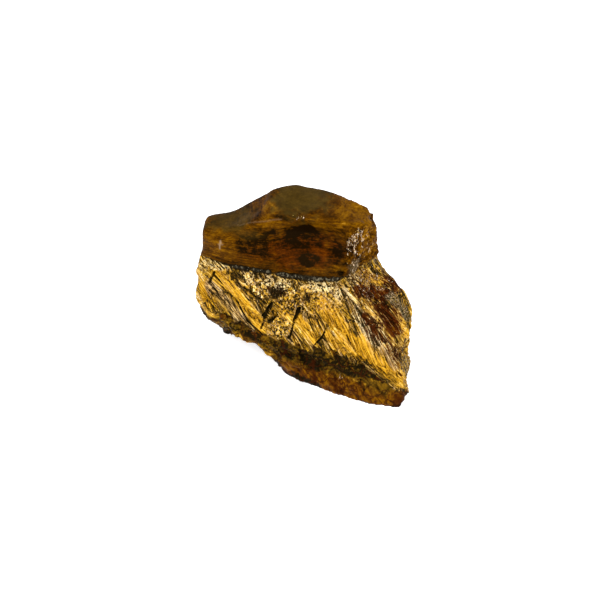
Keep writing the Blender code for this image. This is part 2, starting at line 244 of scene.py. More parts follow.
# Patches of one stuff in another, by mark: strength, centre, half sizes along X, Y and Z
PATCHES = {
    # painted shade over the fibres
    "shade": (
        (0.6, (16.0, 1.0, 21.0), (7.5, 6.0, 4.5)), (0.6, (22.0, 4.5, 18.5), (4.6, 8.0, 5.5)),
        (0.55, (19.5, -3.5, 15.5), (5.5, 5.5, 4.0)), (0.3, (18.0, -9.5, 12.5), (3.0, 4.0, 3.5)),
        (0.25, (23.2, -11.0, 9.5), (2.8, 5.0, 4.0)), (0.5, (-5.0, -4.6, 17.6), (5.5, 4.0, 2.0)),
        (0.6, (5.0, -11.0, 11.0), (2.0, 2.5, 2.0)), (0.5, (-24.0, 1.4, 17.0), (2.0, 3.0, 3.6)),
        (1.0, (-6.6, -3.0, 20.2), (3.0, 3.0, 1.6)),
    ),
    "grain": (  # short broken grains
        (1.0, (-10.6, -1.6, 20.9), (4.5, 4.0, 3.2)), (1.0, (-4.8, -3.2, 21.0), (5.5, 4.5, 3.6)),
        (0.8, (-1.1, -5.5, 18.5), (3.0, 3.5, 2.5)), (1.0, (3.6, -3.8, 21.9), (5.6, 4.0, 2.2)),
        (0.9, (-6.6, -7.6, 13.2), (3.6, 3.5, 3.4)), (0.6, (14.0, 1.3, 22.3), (4.5, 3.5, 1.8)),
        (0.55, (5.0, -5.6, 18.8), (6.0, 4.0, 2.6)), (0.7, (-3.6, -4.6, 17.4), (4.0, 3.0, 2.4)),
    ),
    # whitish fibre ends along the band's top edge, partly a painted highlight where the edge catches the
    # light
    "cream": (
        (0.9, (-21.3, 5.5, 23.0), (3.6, 3.0, 0.9)), (0.6, (-25.2, 6.5, 22.6), (1.6, 2.0, 1.2)),
        (0.7, (-14.4, 1.6, 22.0), (2.6, 3.0, 2.0)), (0.55, (-7.0, -1.6, 22.2), (5.5, 3.0, 1.3)),
        (0.7, (3.6, -3.0, 22.5), (5.6, 3.0, 1.4)), (0.9, (8.6, -3.6, 21.2), (1.6, 2.0, 2.0)),
        (0.6, (12.6, 0.2, 22.8), (2.6, 2.4, 1.2)),
    ),
    "rust": (
        (0.5, (-7.3, -3.0, 20.6), (3.4, 3.0, 2.2)), (0.45, (0.4, -4.2, 20.0), (1.6, 2.0, 1.5)),
        (1.0, (23.4, -22.0, 1.6), (2.2, 2.4, 1.6)), (0.45, (15.5, 1.5, 21.6), (6.0, 5.0, 3.4)),
        (0.74, (22.6, 5.0, 18.8), (3.6, 6.5, 4.8)), (0.6, (18.5, -4.5, 16.2), (6.0, 5.0, 4.0)),
        (0.6, (18.5, -9.5, 13.0), (3.8, 4.4, 4.0)), (0.5, (22.5, -13.5, 8.5), (3.0, 5.0, 3.6)),
        (0.62, (23.0, -2.6, 13.6), (2.8, 4.5, 4.2)), (0.9, (0.0, 3.0, 29.0), (11.5, 4.4, 5.5)),
        (0.5, (-10.0, 3.8, 28.0), (7.0, 3.0, 3.5)),
    ),
    # near-black painted shade in hollows of the grains and in the cap's hollow
    "void": (
        (1.0, (-7.2, -3.0, 20.4), (2.3, 2.3, 1.4)), (0.9, (-17.2, 3.2, 22.2), (1.1, 1.6, 1.6)),
        (1.0, (0.6, -4.2, 20.0), (1.0, 1.6, 1.1)), (0.6, (-12.6, -1.9, 19.0), (1.4, 1.4, 0.8)),
        (0.6, (-2.0, 5.4, 31.6), (8.5, 3.0, 4.0)), (0.5, (-11.5, 4.4, 29.6), (6.5, 3.0, 3.6)),
        (0.6, (7.5, 2.6, 29.5), (2.4, 2.4, 5.0)), (1.0, (-1.1, 5.1, 34.0), (3.9, 2.6, 1.5)),
        (0.8, (-3.4, 5.2, 31.4), (3.4, 2.6, 1.8)), (1.0, (0.9, 2.8, 26.5), (2.6, 2.4, 1.9)),
        (0.6, (-15.5, 4.3, 29.9), (1.9, 2.0, 2.4)), (0.6, (-10.0, 4.2, 33.1), (1.5, 1.5, 1.0)),
    ),
    "gold": ((1.0, (0.4, -3.1, 21.9), (1.7, 2.0, 1.0)),),
    "olive": (  # greyish olive; the patch on the left of the top is a painted highlight
        (1.0, (-1.1, 11.0, 40.0), (9.0, 8.5, 5.0)), (0.8, (-18.5, 10.0, 34.5), (8.0, 6.0, 3.0)),
        (0.4, (-14.0, 5.6, 32.6), (5.0, 3.0, 1.6)), (1.0, (-20.0, -2.0, 9.0), (10.0, 7.0, 6.0)),
    ),
    "orange": (
        (0.8, (-8.8, 9.1, 37.7), (2.4, 4.0, 2.5)), (0.75, (12.5, 7.0, 37.6), (7.0, 8.0, 3.5)),
        (0.9, (4.2, 3.4, 36.4), (3.2, 2.0, 2.0)), (0.5, (-21.6, 6.4, 29.6), (5.0, 3.0, 5.0)),
        (0.9, (16.0, 4.0, 31.0), (3.0, 6.0, 7.0)), (0.5, (-14.0, -2.5, 5.5), (7.0, 4.0, 2.0)),
    ),
    # painted glints of pinkish splinters
    "sparkle": (
        (0.3, (-1.1, 4.0, 38.6), (3.6, 1.2, 0.9)), (0.3, (15.5, 2.5, 28.0), (4.0, 4.0, 6.0)),
        (0.7, (12.2, 2.0, 31.8), (2.0, 3.0, 3.4)), (0.3, (16.6, 4.6, 33.4), (3.0, 3.0, 1.6)),
        (0.45, (16.0, 1.0, 20.5), (8.0, 6.0, 5.0)), (0.4, (9.3, -16.5, 4.8), (1.2, 1.6, 1.0)),
    ),
    "rim": (  # pit at the right end of the parting, painted near-black as shade
        (1.0, (8.9, -0.5, 24.7), (1.1, 1.6, 1.2)),
    ),
    "grey": ((0.6, (13.0, 1.8, 25.4), (2.4, 2.6, 2.4)), (0.6, (25.7, -11.8, 4.9), (1.5, 4.5, 2.8))),
}

STREAK_REACH = (0.6, 1.2)   # a streak fades out between these shares of its half width
PATCH_REACH = (0.55, 1.15)  # and a patch between these shares of its half sizes

WHITE = (1.0, 1.0, 1.0, 1.0)
GLOSS = 0.04
GLOSS_TINT = (1.0, 0.62, 0.25, 1.0)
BUMP_STRENGTH = 0.6
BUMP_HEIGHT = 0.12          # in millimetres
OTHER_FOLDS = 50.0          # shifts that read another part of a noise
OTHER_CELLS = 40.0

# The studio, in metres
FLOOR_HALF_SIZE = 4.0
LIGHT_AIM = Vector((0.0, 0.0, 0.02))
LIGHTS = (("key", (-0.12, -0.3, 0.6), 0.5), ("fill", (0.45, -0.35, 0.35), 0.3))
NEAREST_SEEN = 0.01


def srgb(*steps):
    """A colour given in steps of 0 to 255, as the linear values that a shader takes."""
    shares = [step / 255 for step in steps]
    return [part / 12.92 if part <= 0.04045 else ((part + 0.055) / 1.055) ** 2.4 for part in shares]


def number(name, description, default, **kind):
    return FloatProperty(name=name, description=description, default=default, **kind)


def length(name, description, millimetres):
    return number(name, description, millimetres * MM, unit="LENGTH", precision=5)


def colour(name, description, *steps):
    return FloatVectorProperty(
        name=name, description=description, default=srgb(*steps),
        subtype="COLOR", size=3, min=0.0, max=1.0
    )


class StoneSizes(bpy.types.PropertyGroup):
    """Sizes of what the stone's surface is broken into."""

    grid: length("Surface grid", "Spacing of the points of the skin, halved on the front", 0.44)
    bundle_length: length("Bundle length", "Length of a bundle of fibres", 15.0)
    bundle_width: length("Bundle width", "Width of a bundle of fibres", 2.6)
    askew: number("Askew", "Largest turn of a bundle from the others", math.radians(7), subtype="ANGLE")
    fibre_length: length("Splinter length", "Length of a single splinter", 14.0)
    fibre_width: length("Splinter width", "Width of a single splinter", 1.1)
    fibre_step: length("Splinter step", "Height difference between neighbouring splinters", 0.26)
    fibre_groove: length("Splinter groove", "Depth of the gap between splinters", 0.16)
    grain_size: length("Grain size", "Size of the short broken grains under the seam", 0.8)
    grain_height: length("Grain height", "Height of the short broken grains", 0.42)
    chip_size: length("Chip size", "Size of the chips on the dark base", 1.9)
    chip_height: length("Chip height", "Height of the chips on the dark base", 0.22)
    facet_slope: number("Facet slope", "How steeply the broken facets lean", 0.42)
    swell: length("Swell", "How far the skin stands off the solid", 0.1)
    ripple: length("Ripple height", "Height of the faint ripples on the cap", 0.08)


class StoneColours(bpy.types.PropertyGroup):
    """Colours of the stone's minerals."""

    gap: colour("Gap", "Dark gaps between the fibres", 28, 22, 6)
    brown: colour("Brown fibre", "Fibres in the shade of others", 112, 80, 14)
    ochre: colour("Ochre fibre", "Deeper golden fibres", 182, 136, 34)
    amber: colour("Amber fibre", "Deep yellow fibres of the fresh bundles", 206, 148, 26)
    gold: colour("Golden fibre", "Bright golden fibres", 224, 180, 62)
    cream: colour("Cream fibre", "Whitish ends of fibres", 246, 234, 182)
    lilac: colour("Pale fibre", "Weathered greyish fibres", 176, 152, 122)
    pink: colour("Pink sparkle", "Pinkish splinters on the cap", 232, 208, 184)
    rust: colour("Rust", "Red-brown iron stain", 74, 28, 4)
    seam: colour("Seam", "Dark grey parting under the cap", 68, 63, 50)
    cap_dark: colour("Dark cap", "Dark red-brown of the hollow in the cap", 16, 6, 0)
    cap_red: colour("Red cap", "Red-brown of the hollow in the cap", 80, 30, 0)
    cap_brown: colour("Brown cap", "Middle brown of the cap", 76, 43, 0)
    cap_orange: colour("Orange cap", "Orange-brown of the cap", 122, 80, 2)
    cap_gold: colour("Golden cap", "Golden flecks of the cap", 186, 136, 44)
    olive: colour("Olive cap", "Greyish olive of the cap's top", 69, 51, 14)
    base_dark: colour("Dark base", "Near-black of the base", 20, 14, 4)
    base_brown: colour("Brown base", "Rusty brown of the base", 78, 40, 5)
    base_olive: colour("Olive base", "Golden olive of the base", 76, 56, 8)
    grey: colour("Grey rock", "Greenish grey crust", 72, 66, 34)


class StageSettings(bpy.types.PropertyGroup):
    """The floor, the lights and the camera."""

    floor: colour("Floor", "Colour of the floor", 245, 245, 245)
    glow: number("Floor glow", "How brightly the floor glows of itself", 0.75)
    sky: number("Soft light", "Strength of the light from all round", 0.6)
    key: number("Key light", "Power of the large light", 4.2, subtype="POWER")
    fill: number("Fill light", "Power of the small light", 1.2, subtype="POWER")
    elevation: number("Camera height", "Camera's angle above the floor", math.radians(35), subtype="ANGLE")
    distance: length("Camera distance", "From the camera to the stone", 375.0)
    lens: number("Lens", "Focal length in millimetres", 90.0)


def rise(low, high, values):
    """0 up to the low value, 1 from the high one on, and a smooth rise between them."""
    share = np.clip((values - low) / (high - low), 0.0, 1.0)
    return share * share * (3 - 2 * share)


def perlin(points, size):
    """Smooth noise between about -1 and 1, whose swells have the given size."""
    return np.array([noise.noise(Vector(point)) for point in points / size])


def nearest_cells(points):
    """For each point of a space of unit cells: its place from its cell's centre, where the cell's numbers are
    drawn, and the distance to the cell's edge."""
    for point in map(Vector, points):
        distances, centres = noise.voronoi(point)
        yield point - centres[0], centres[0] * CELL_SHUFFLE, distances[1] - distances[0]


def long_cells(points):
    """A number drawn for each point's cell, and the distance to the cell's edge."""
    return np.array([(noise.cell(seed), edge) for _, seed, edge in nearest_cells(points)]).T


def facets(points, size):
    """Heights of a surface broken into flat, tilted facets of the given size, a number drawn for each facet,
    and how near each point is to its facet's edge."""
    middle = Vector((0.5, 0.5, 0.5))
    heights, drawn, edge = np.array([
        (place.dot(noise.cell_vector(seed) - middle), noise.cell(seed), edge)
        for place, seed, edge in nearest_cells(points / size)
    ]).T
    return heights * size, drawn, 1 - rise(0.0, 0.12, edge)


def fibre_space(points):
    """Points along the fibres, across them and into the stone."""
    across = BAND_FACE_NORMAL.cross(FIBRE_DIRECTION).normalized()
    return points @ np.array((FIBRE_DIRECTION, across, BAND_FACE_NORMAL)).T


def new_object(name, data):
    obj = bpy.data.objects.new(name, data)
    bpy.context.scene.collection.objects.link(obj)
    return obj


def fine_skin(sizes):
    """An even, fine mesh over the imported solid, with its facets rounded off."""
    shape = bmesh.new()
    shape.from_mesh(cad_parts[NODE].data)
    bmesh.ops.remove_doubles(shape, verts=shape.verts, dist=1e-6)
    mesh = bpy.data.meshes.new(PIECE)
    shape.to_mesh(mesh)
    shape.free()
    obj = new_object(PIECE, mesh)
    modifier = obj.modifiers.new("grid", "REMESH")
    modifier.mode = "VOXEL"
    modifier.voxel_size = sizes.grid
    bpy.context.view_layer.update()
    made = bpy.data.meshes.new_from_object(obj.evaluated_get(bpy.context.evaluated_depsgraph_get()))
    obj.modifiers.clear()
    obj.data = made
    return obj


def refine_front(mesh):
    """Halves the spacing of the points where the fibres and the base face the front."""
    shape = bmesh.new()
    shape.from_mesh(mesh)
    shape.normal_update()

    def in_front(face):
        low, high = FRONT_HEIGHTS
        return face.normal.dot(FRONT) > FRONT_LEAST and low < face.calc_center_median().z / MM < high

    chosen = {face for face in shape.faces if in_front(face)}
    edges = [edge for edge in shape.edges if all(face in chosen for face in edge.link_faces)]
    bmesh.ops.subdivide_edges(shape, edges=edges, cuts=1, use_grid_fill=True)
    shape.to_mesh(mesh)
    shape.free()


def soften(mesh, passes, test):
    """Smooths the points whose place in millimetres passes the test."""
    shape = bmesh.new()
    shape.from_mesh(mesh)
    chosen = [v for v in shape.verts if test(v.co / MM)]
    for _ in range(passes):
        bmesh.ops.smooth_vert(
            shape, verts=chosen, factor=0.5, use_axis_x=True, use_axis_y=True, use_axis_z=True
        )
    shape.to_mesh(mesh)
    shape.free()


def read_vectors(mesh, name):
    values = np.empty(len(mesh.vertices) * 3, np.float32)
    mesh.vertices.foreach_get(name, values)
    return values.reshape(-1, 3).astype(float)


def flattened(points):
    """Points with less depth under the face of the fibres, so that a mark reaches into the stone."""
    normal = np.array(BAND_FACE_NORMAL)
    return points - 0.7 * (points @ normal)[:, None] * normal


def line_distance(points, line):
    """The distance of each point to a run of straight lines."""
    nearest = np.full(len(points), np.inf)
    for start, end in zip(line, line[1:]):
        run = end - start
        share = np.clip((points - start) @ run / (run @ run), 0.0, 1.0)
        nearest = np.minimum(nearest, np.linalg.norm(points - start - share[:, None] * run, axis=1))
    return nearest


def crack_marks(points, wobble):
    """How deep each point lies in a crack, in millimetres, and how much of a crack it is."""
    depth, share = np.zeros(len(points)), np.zeros(len(points))
    flat = flattened(points)
    for half_width, crack_depth, *line in CRACKS:
        distance = line_distance(flat, flattened(np.array(line))) + 0.14 * wobble
        inside = 1 - rise(0.4 * half_width, 1.3 * half_width, distance)
        depth = np.maximum(depth, crack_depth * inside)
        share = np.maximum(share, inside)
    return depth, share


def spot_marks(points, wobble, marks):
    """Adds every streak and patch of the tables to its mark."""
    flat = flattened(points)
    for mark, streaks in STREAKS.items():
        for strength, half_width, *line in streaks:
            reach = line_distance(flat, flattened(np.array(line))) / half_width + 0.3 * wobble
            marks[mark] = np.maximum(marks[mark], strength * (1 - rise(*STREAK_REACH, reach)))
    for mark, patches in PATCHES.items():
        for strength, centre, half_sizes in patches:
            reach = np.linalg.norm((points - centre) / half_sizes, axis=1) + 0.35 * wobble
            marks[mark] = np.maximum(marks[mark], strength * (1 - rise(*PATCH_REACH, reach)))


def seam_marks(points, wobble, marks):
    """Marks the parting and its dark rims. Returns its height over or under each point."""
    x, y, z = points.T
    line = np.array(SEAM_LINE)
    line_x, line_y, line_z = line.T
    behind = y - np.interp(x, line_x, line_y)
    parting = np.interp(x, line_x, line_z) - SEAM_LEAN * behind * np.exp(-(behind / 3.0) ** 2)
    width = np.interp(x, *np.array(SEAM_WIDTH).T)
    off_line = line_distance(points, line) + 0.2 * wobble
    front = 1 - rise(0.8 * width, 1.15 * width + 0.02, off_line)
    edges = (1 - rise(0.1, 0.34, np.abs(off_line - width))) * (width > 0.2)
    marks["rim"] = np.maximum(marks["rim"], edges)
    patchy = rise(-0.2, 0.2, perlin(points, 5.0))
    back = np.abs(z - SEAM_HEIGHT + 0.4 * wobble) < 0.45
    back = back * rise(3.0, 6.0, np.abs(behind)) * patchy
    marks["seam"] = np.maximum(front * (width > 0), back)
    return parting


def layer_marks(points, wobble, marks):
    """Which layer each point belongs to; the four layers add up to 1."""
    x, y, z = points.T
    parting = seam_marks(points, wobble, marks)
    blur = LEAST_BLUR + 0.9 * rise(*BLUR_RISE, x)
    above_parting = rise(-blur, blur, z - parting + 0.1 * wobble * blur / LEAST_BLUR)
    foot = np.interp(x, *np.array(FOOT_LINE).T)
    foot += rise(0.0, 9.0, y) * (FOOT_HEIGHT + FOOT_SLOPE * x - foot) + 0.4 * wobble
    foot += FOOT_FINGERS * perlin(fibre_space(points), (9.0, 1.1, 1.1))
    above_base = rise(foot - 0.3, foot + 0.3, z)
    marks["cap"] = above_parting * (1 - marks["seam"])
    marks["band"] = above_base * (1 - above_parting) * (1 - marks["seam"])
    marks["base"] = (1 - above_base) * (1 - marks["seam"])


def strand_space(points, sizes):
    """Points along the fibres, across them and into the stone, in millimetres, where each bundle lies a
    little askew, with a number drawn for each bundle, and the distance to its edge."""
    local = fibre_space(points + np.array(BUNDLE_ORIGIN))
    bend = BUNDLE_BEND * perlin(points + np.array(BUNDLE_ORIGIN), BUNDLE_BEND_SIZE)
    cells = local * MM / np.array((sizes.bundle_length, sizes.bundle_width, sizes.bundle_width))
    cells[:, 1] += bend
    drawn, edge = long_cells(cells)
    askew = sizes.askew * (2 * drawn - 1)
    along = local[:, 0] * np.cos(askew) + local[:, 1] * np.sin(askew)
    across = local[:, 1] * np.cos(askew) - local[:, 0] * np.sin(askew)
    return np.stack((along, across + bend, local[:, 2]), axis=1), drawn, edge


def crease(points, size, half_width):
    """How near each point is to a crease of a folded sheet, whose folds have the given size."""
    return 1 - rise(0.0, half_width, np.abs(perlin(points, size)))


def drawn_out(points):
    """Points after every pull of the table."""
    for centre, radius, shift in PULLS:
        near = np.exp(-(np.linalg.norm(points - centre, axis=1) / radius * 1.3) ** 2)
        points = points + near[:, None] * shift
    return points


def weather(points, normals, wobble, marks):
    """Darkens the foot of the base and what hangs over as painted shade, marks the rough end of the cap, and
    returns how far each point is broken into facets."""
    x, _, z = points.T
    facing_up = normals[:, 2]
    # Painted shade on what faces down and near the floor
    hanging = rise(0.0, 0.5, -facing_up) * rise(0.1, 0.6, z)
    low = 1 - rise(0.2, 1.6, z + 0.5 * wobble)
    marks["void"] = np.maximum(marks["void"], 0.6 * marks["base"] * np.maximum(0.3 * hanging, low))
    steep = 1 - 0.75 * rise(0.55, 0.85, facing_up) * rise(*CAP_TOP_HEIGHTS, z)
    marks["rough"] = steep * marks["cap"] * rise(*ROUGH_RISE, x + 1.5 * wobble)
    broken = np.maximum(marks["base"], 0.7 * steep * marks["cap"] * rise(*FACET_RISE, x))
    return broken * (0.4 + 0.6 * rise(*CHIP_RISE, x))


def facet_relief(points, wobble):
    """Heights of the broken facets, their tones, and how near each point is to an edge between them."""
    large, large_tone, large_edge = facets(points + 0.5 * wobble[:, None], LARGE_FACET)
    small, small_tone, small_edge = facets(points + OTHER_CELLS, SMALL_FACET)
    edge = np.maximum(0.6 * large_edge, 0.4 * small_edge)
    return large + 0.8 * small, 0.6 * large_tone + 0.4 * small_tone, edge


def fibre_relief(points, sizes, gold):
    """Heights of the splinters, their tones, how far each point is in a gap, and its strand space. Gaps are
    shallow between golden fibres."""
    strand, bundle, bundle_edge = strand_space(points, sizes)
    splinter_size = np.array((sizes.fibre_length, sizes.fibre_width, sizes.fibre_width)) / MM
    splinter, _ = long_cells(strand / splinter_size)
    whole = 1 - 0.6 * gold
    bundle_gap = whole * (1 - rise(0.0, 0.1, bundle_edge))
    long_folds = crease(strand, (18.0, 1.3, 1.3), 0.08)
    short_folds = crease(strand + OTHER_FOLDS, (10.0, 0.6, 0.6), 0.1)
    splinter_gap = whole * np.maximum(long_folds, 0.7 * short_folds)
    heights = sizes.fibre_step * (splinter - 0.5) - sizes.fibre_groove * splinter_gap
    gap = np.maximum(0.5 * bundle_gap, 0.6 * splinter_gap)
    return heights, 0.5 * bundle + 0.5 * splinter, gap, strand


def grain_relief(points, sizes):
    """Heights of the short broken grains, as shares of the full height."""
    bent = np.stack([perlin(points + shift, 0.9) for shift in (11.0, 23.0, 47.0)], axis=1)
    drawn, edge = long_cells((points + 0.5 * bent) * (1.0, 0.9, 0.75) / (sizes.grain_size / MM))
    return drawn - 0.5 - 0.2 * (1 - rise(0.0, 0.25, edge))


def roughen(mesh, sizes):
    """Breaks the skin into splinters, grains and chips. Returns its points' marks and strand space."""
    points, normals = read_vectors(mesh, "co") / MM, read_vectors(mesh, "normal")
    wobble = perlin(points, 1.6) + 0.5 * perlin(points, 0.7)
    marks = {mark: np.zeros(len(points)) for mark in (*STREAKS, *PATCHES)}
    layer_marks(points, wobble, marks)
    spot_marks(points, wobble, marks)
    marks["grain"] *= marks["band"]
    broken = weather(points, normals, wobble, marks)
    fibrous = marks["band"] * (1 - 0.85 * marks["grain"]) * rise(*FIBRE_RISE, points[:, 0])
    granular = np.maximum.reduce(
        (marks["grain"], 0.6 * marks["sparkle"], 0.5 * marks["seam"], 0.3 * marks["rough"])
    )
    facet_heights, marks["facet"], facet_edge = facet_relief(points, wobble)
    fibre_heights, marks["bundle"], gap, strand = fibre_relief(points, sizes, marks["gold"])
    chip, _ = long_cells(points / (sizes.chip_size / MM))
    crack_depth, crack = crack_marks(points, wobble)
    # Painted shade: gaps between fibres, cracks and facet edges darken the colour through this hollow mark
    marks["hollow"] = np.maximum.reduce((gap * fibrous, crack, broken * facet_edge))

    height = (
        fibrous * fibre_heights / MM
        + granular * sizes.grain_height / MM * grain_relief(points, sizes)
        + marks["base"] * sizes.chip_height / MM * (chip - 0.5 + 0.8 * perlin(points, 2.2))
        + broken * sizes.facet_slope * facet_heights
        + marks["cap"] * sizes.ripple / MM * perlin(points * (0.2, 0.2, 1.0), 0.8)
        + 0.04 * perlin(points, 0.45)
        - crack_depth
    )
    height += sizes.swell / MM
    above = rise(0.2, 1.2, points[:, 2])[:, None]
    moved = points + above * (drawn_out(points) - points + normals * height[:, None])
    moved[:, 2] = np.maximum(moved[:, 2], 0.0)
    mesh.vertices.foreach_set("co", (moved * MM).astype(np.float32).ravel())
    mesh.update()
    return marks, strand


def curvature(mesh):
    """How hollow (positive) or raised (negative) the surface is at each point."""
    shape = bmesh.new()
    shape.from_mesh(mesh)
    shape.normal_update()
    bent = []
    for vertex in shape.verts:
        near = [edge.other_vert(vertex).co for edge in vertex.link_edges]
        middle = sum(near, Vector()) / len(near)
        bent.append((middle - vertex.co).dot(vertex.normal) / MM)
    links = [[edge.other_vert(vertex).index for edge in vertex.link_edges] for vertex in shape.verts]
    shape.free()
    bent = np.array(bent)
    return 0.5 * bent + 0.5 * np.array([bent[near].mean() for near in links])


def store(mesh, name, kind, slot, values):
    """Keeps the values on the mesh's points, where a material reads them."""
    attribute = mesh.attributes.new(name, kind, "POINT")
    attribute.data.foreach_set(slot, values.astype(np.float32).ravel())


class Nodes:
    """Short names for the nodes of one material. A value is a number, a colour, a socket or a mark's name."""

    def __init__(self, tree, colours):
        self.tree = tree
        self.colours = colours

    def make(self, kind, **settings):
        node = self.tree.nodes.new(kind)
        for name, value in settings.items():
            setattr(node, name, value)
        return node

    def put(self, socket, value):
        if isinstance(value, str):
            value = self.mark(value)
        if isinstance(value, bpy.types.NodeSocket):
            self.tree.links.new(value, socket)
        else:
            socket.default_value = value

    def fill(self, sockets, *values):
        for socket, value in zip(sockets, values):
            self.put(socket, value)

    def mark(self, name, output="Fac"):
        node = self.make("ShaderNodeAttribute", attribute_name=name, attribute_type="GEOMETRY")
        return node.outputs[output]

    def paint(self, name, factor=1.0):
        """One of the stone's colours, darker or brighter by the factor."""
        return (*(factor * part for part in getattr(self.colours, name)), 1.0)

    def math(self, operation, *values):
        node = self.make("ShaderNodeMath", operation=operation)
        self.fill(node.inputs, *values)
        return node.outputs[0]

    def times(self, *factors):
        return functools.reduce(lambda total, value: self.math("MULTIPLY", total, value), factors)

    def add(self, *terms):
        """The sum of the terms, where a tuple stands for the product of its factors."""
        values = [self.times(*term) if isinstance(term, tuple) else term for term in terms]
        return functools.reduce(lambda total, value: self.math("ADD", total, value), values)

    def highest(self, first, second):
        return self.math("MAXIMUM", first, second)

    def blend(self, share, first, second):
        """A number that goes from the first to the second with the share."""
        node = self.make("ShaderNodeMix", data_type="FLOAT")
        self.fill((node.inputs[0], node.inputs[2], node.inputs[3]), share, first, second)
        return node.outputs[0]

    def mix(self, share, first, second):
        """A colour that goes from the first to the second with the share."""
        node = self.make("ShaderNodeMix", data_type="RGBA")
        self.fill((node.inputs[0], node.inputs[6], node.inputs[7]), share, first, second)
        return node.outputs[2]

    def spread(self, value, low, high, new_low=0.0, new_high=1.0):
        """The value's range from low to high, spread smoothly from the new low to the new high."""
        node = self.make("ShaderNodeMapRange", interpolation_type="SMOOTHSTEP")
        self.fill(node.inputs, value, low, high, new_low, new_high)
        return node.outputs[0]

    def ramp(self, value, *stops):
        """A run of colours, each given as its position, its name and perhaps its factor."""
        node = self.make("ShaderNodeValToRGB")
        self.put(node.inputs[0], value)
        elements = node.color_ramp.elements
        elements[0].position, elements[1].position = stops[0][0], stops[-1][0]
        for position, *_ in stops[1:-1]:
            elements.new(position)
        for element, (_, *shade) in zip(elements, stops):
            element.color = self.paint(*shade)
        return node.outputs[0]

    def counted(self, place, sizes):
        """A place counted in pieces of the given size."""
        node = self.make("ShaderNodeMapping", vector_type="TEXTURE")
        self.put(node.inputs["Vector"], place)
        node.inputs["Scale"].default_value = sizes
        return node.outputs[0]

    def mapped(self, *sizes):
        """The place on the stone, counted in pieces of the given size in millimetres."""
        place = self.make("ShaderNodeTexCoord").outputs["Object"]
        return self.counted(place, [size * MM for size in sizes])

    def strands(self, *sizes):
        """The place along the fibres, across them and into the stone, counted in the same way."""
        return self.counted(self.mark("strand", "Vector"), sizes)

    def noise(self, vector, detail=2.0, roughness=0.5, distortion=0.0):
        node = self.make("ShaderNodeTexNoise")
        self.put(node.inputs["Vector"], vector)
        settings = {"Scale": 1.0, "Detail": detail, "Roughness": roughness, "Distortion": distortion}
        for name, value in settings.items():
            node.inputs[name].default_value = value
        return node.outputs["Fac"]

    def clouds(self, vector, *settings):
        """Noise whose usual range is spread from 0 to 1."""
        return self.spread(self.noise(vector, *settings), 0.3, 0.7)

    def threads(self, vector, half_width):
        """Thin lines, where a noise crosses its middle."""
        off_middle = self.math("ABSOLUTE", self.math("SUBTRACT", self.noise(vector, 1.0), 0.5))
        return self.spread(off_middle, 0.0, half_width, 1.0, 0.0)

    def cells(self, vector):
        """A number drawn for each cell."""
        node = self.make("ShaderNodeTexVoronoi")
        self.put(node.inputs["Vector"], vector)
        node.inputs["Scale"].default_value = 1.0
        split = self.make("ShaderNodeSeparateColor")
        self.put(split.inputs[0], node.outputs["Color"])
        return split.outputs[0]


def fibre_light(n, strands, hairs, grit, glint_threads, threaded):
    """How light each spot of the band is: its splinters, its grains, and the even fibres of fresh bundles."""
    flaws = n.spread(n.noise(n.strands(1.5, 0.36, 0.36), 2.0, 0.6), 0.32, 0.68, -0.13, 0.13)
    fibres = n.add(flaws, (strands, 0.36), (hairs, 0.42), ("bundle", 0.24))
    grains = n.add((n.cells(n.mapped(0.42, 0.5, 0.7)), 0.8), (grit, 0.4), -0.2)
    light = n.blend("grain", fibres, grains)
    light = n.blend(n.times("gold", 0.5), light, n.add(0.42, flaws, (hairs, 0.4)))
    dark_threads = n.threads(n.strands(16.0, 0.8, 0.8), 0.035)
    # Painted shade where the surface is hollow or shaded, painted highlight on raised spots and along the
    # pale threads
    return n.add(
        light, -0.085, ("ridge", 0.18), ("hollow", -0.52), ("shade", -0.28),
        (dark_threads, threaded, -0.34), (glint_threads, 0.2)
    )


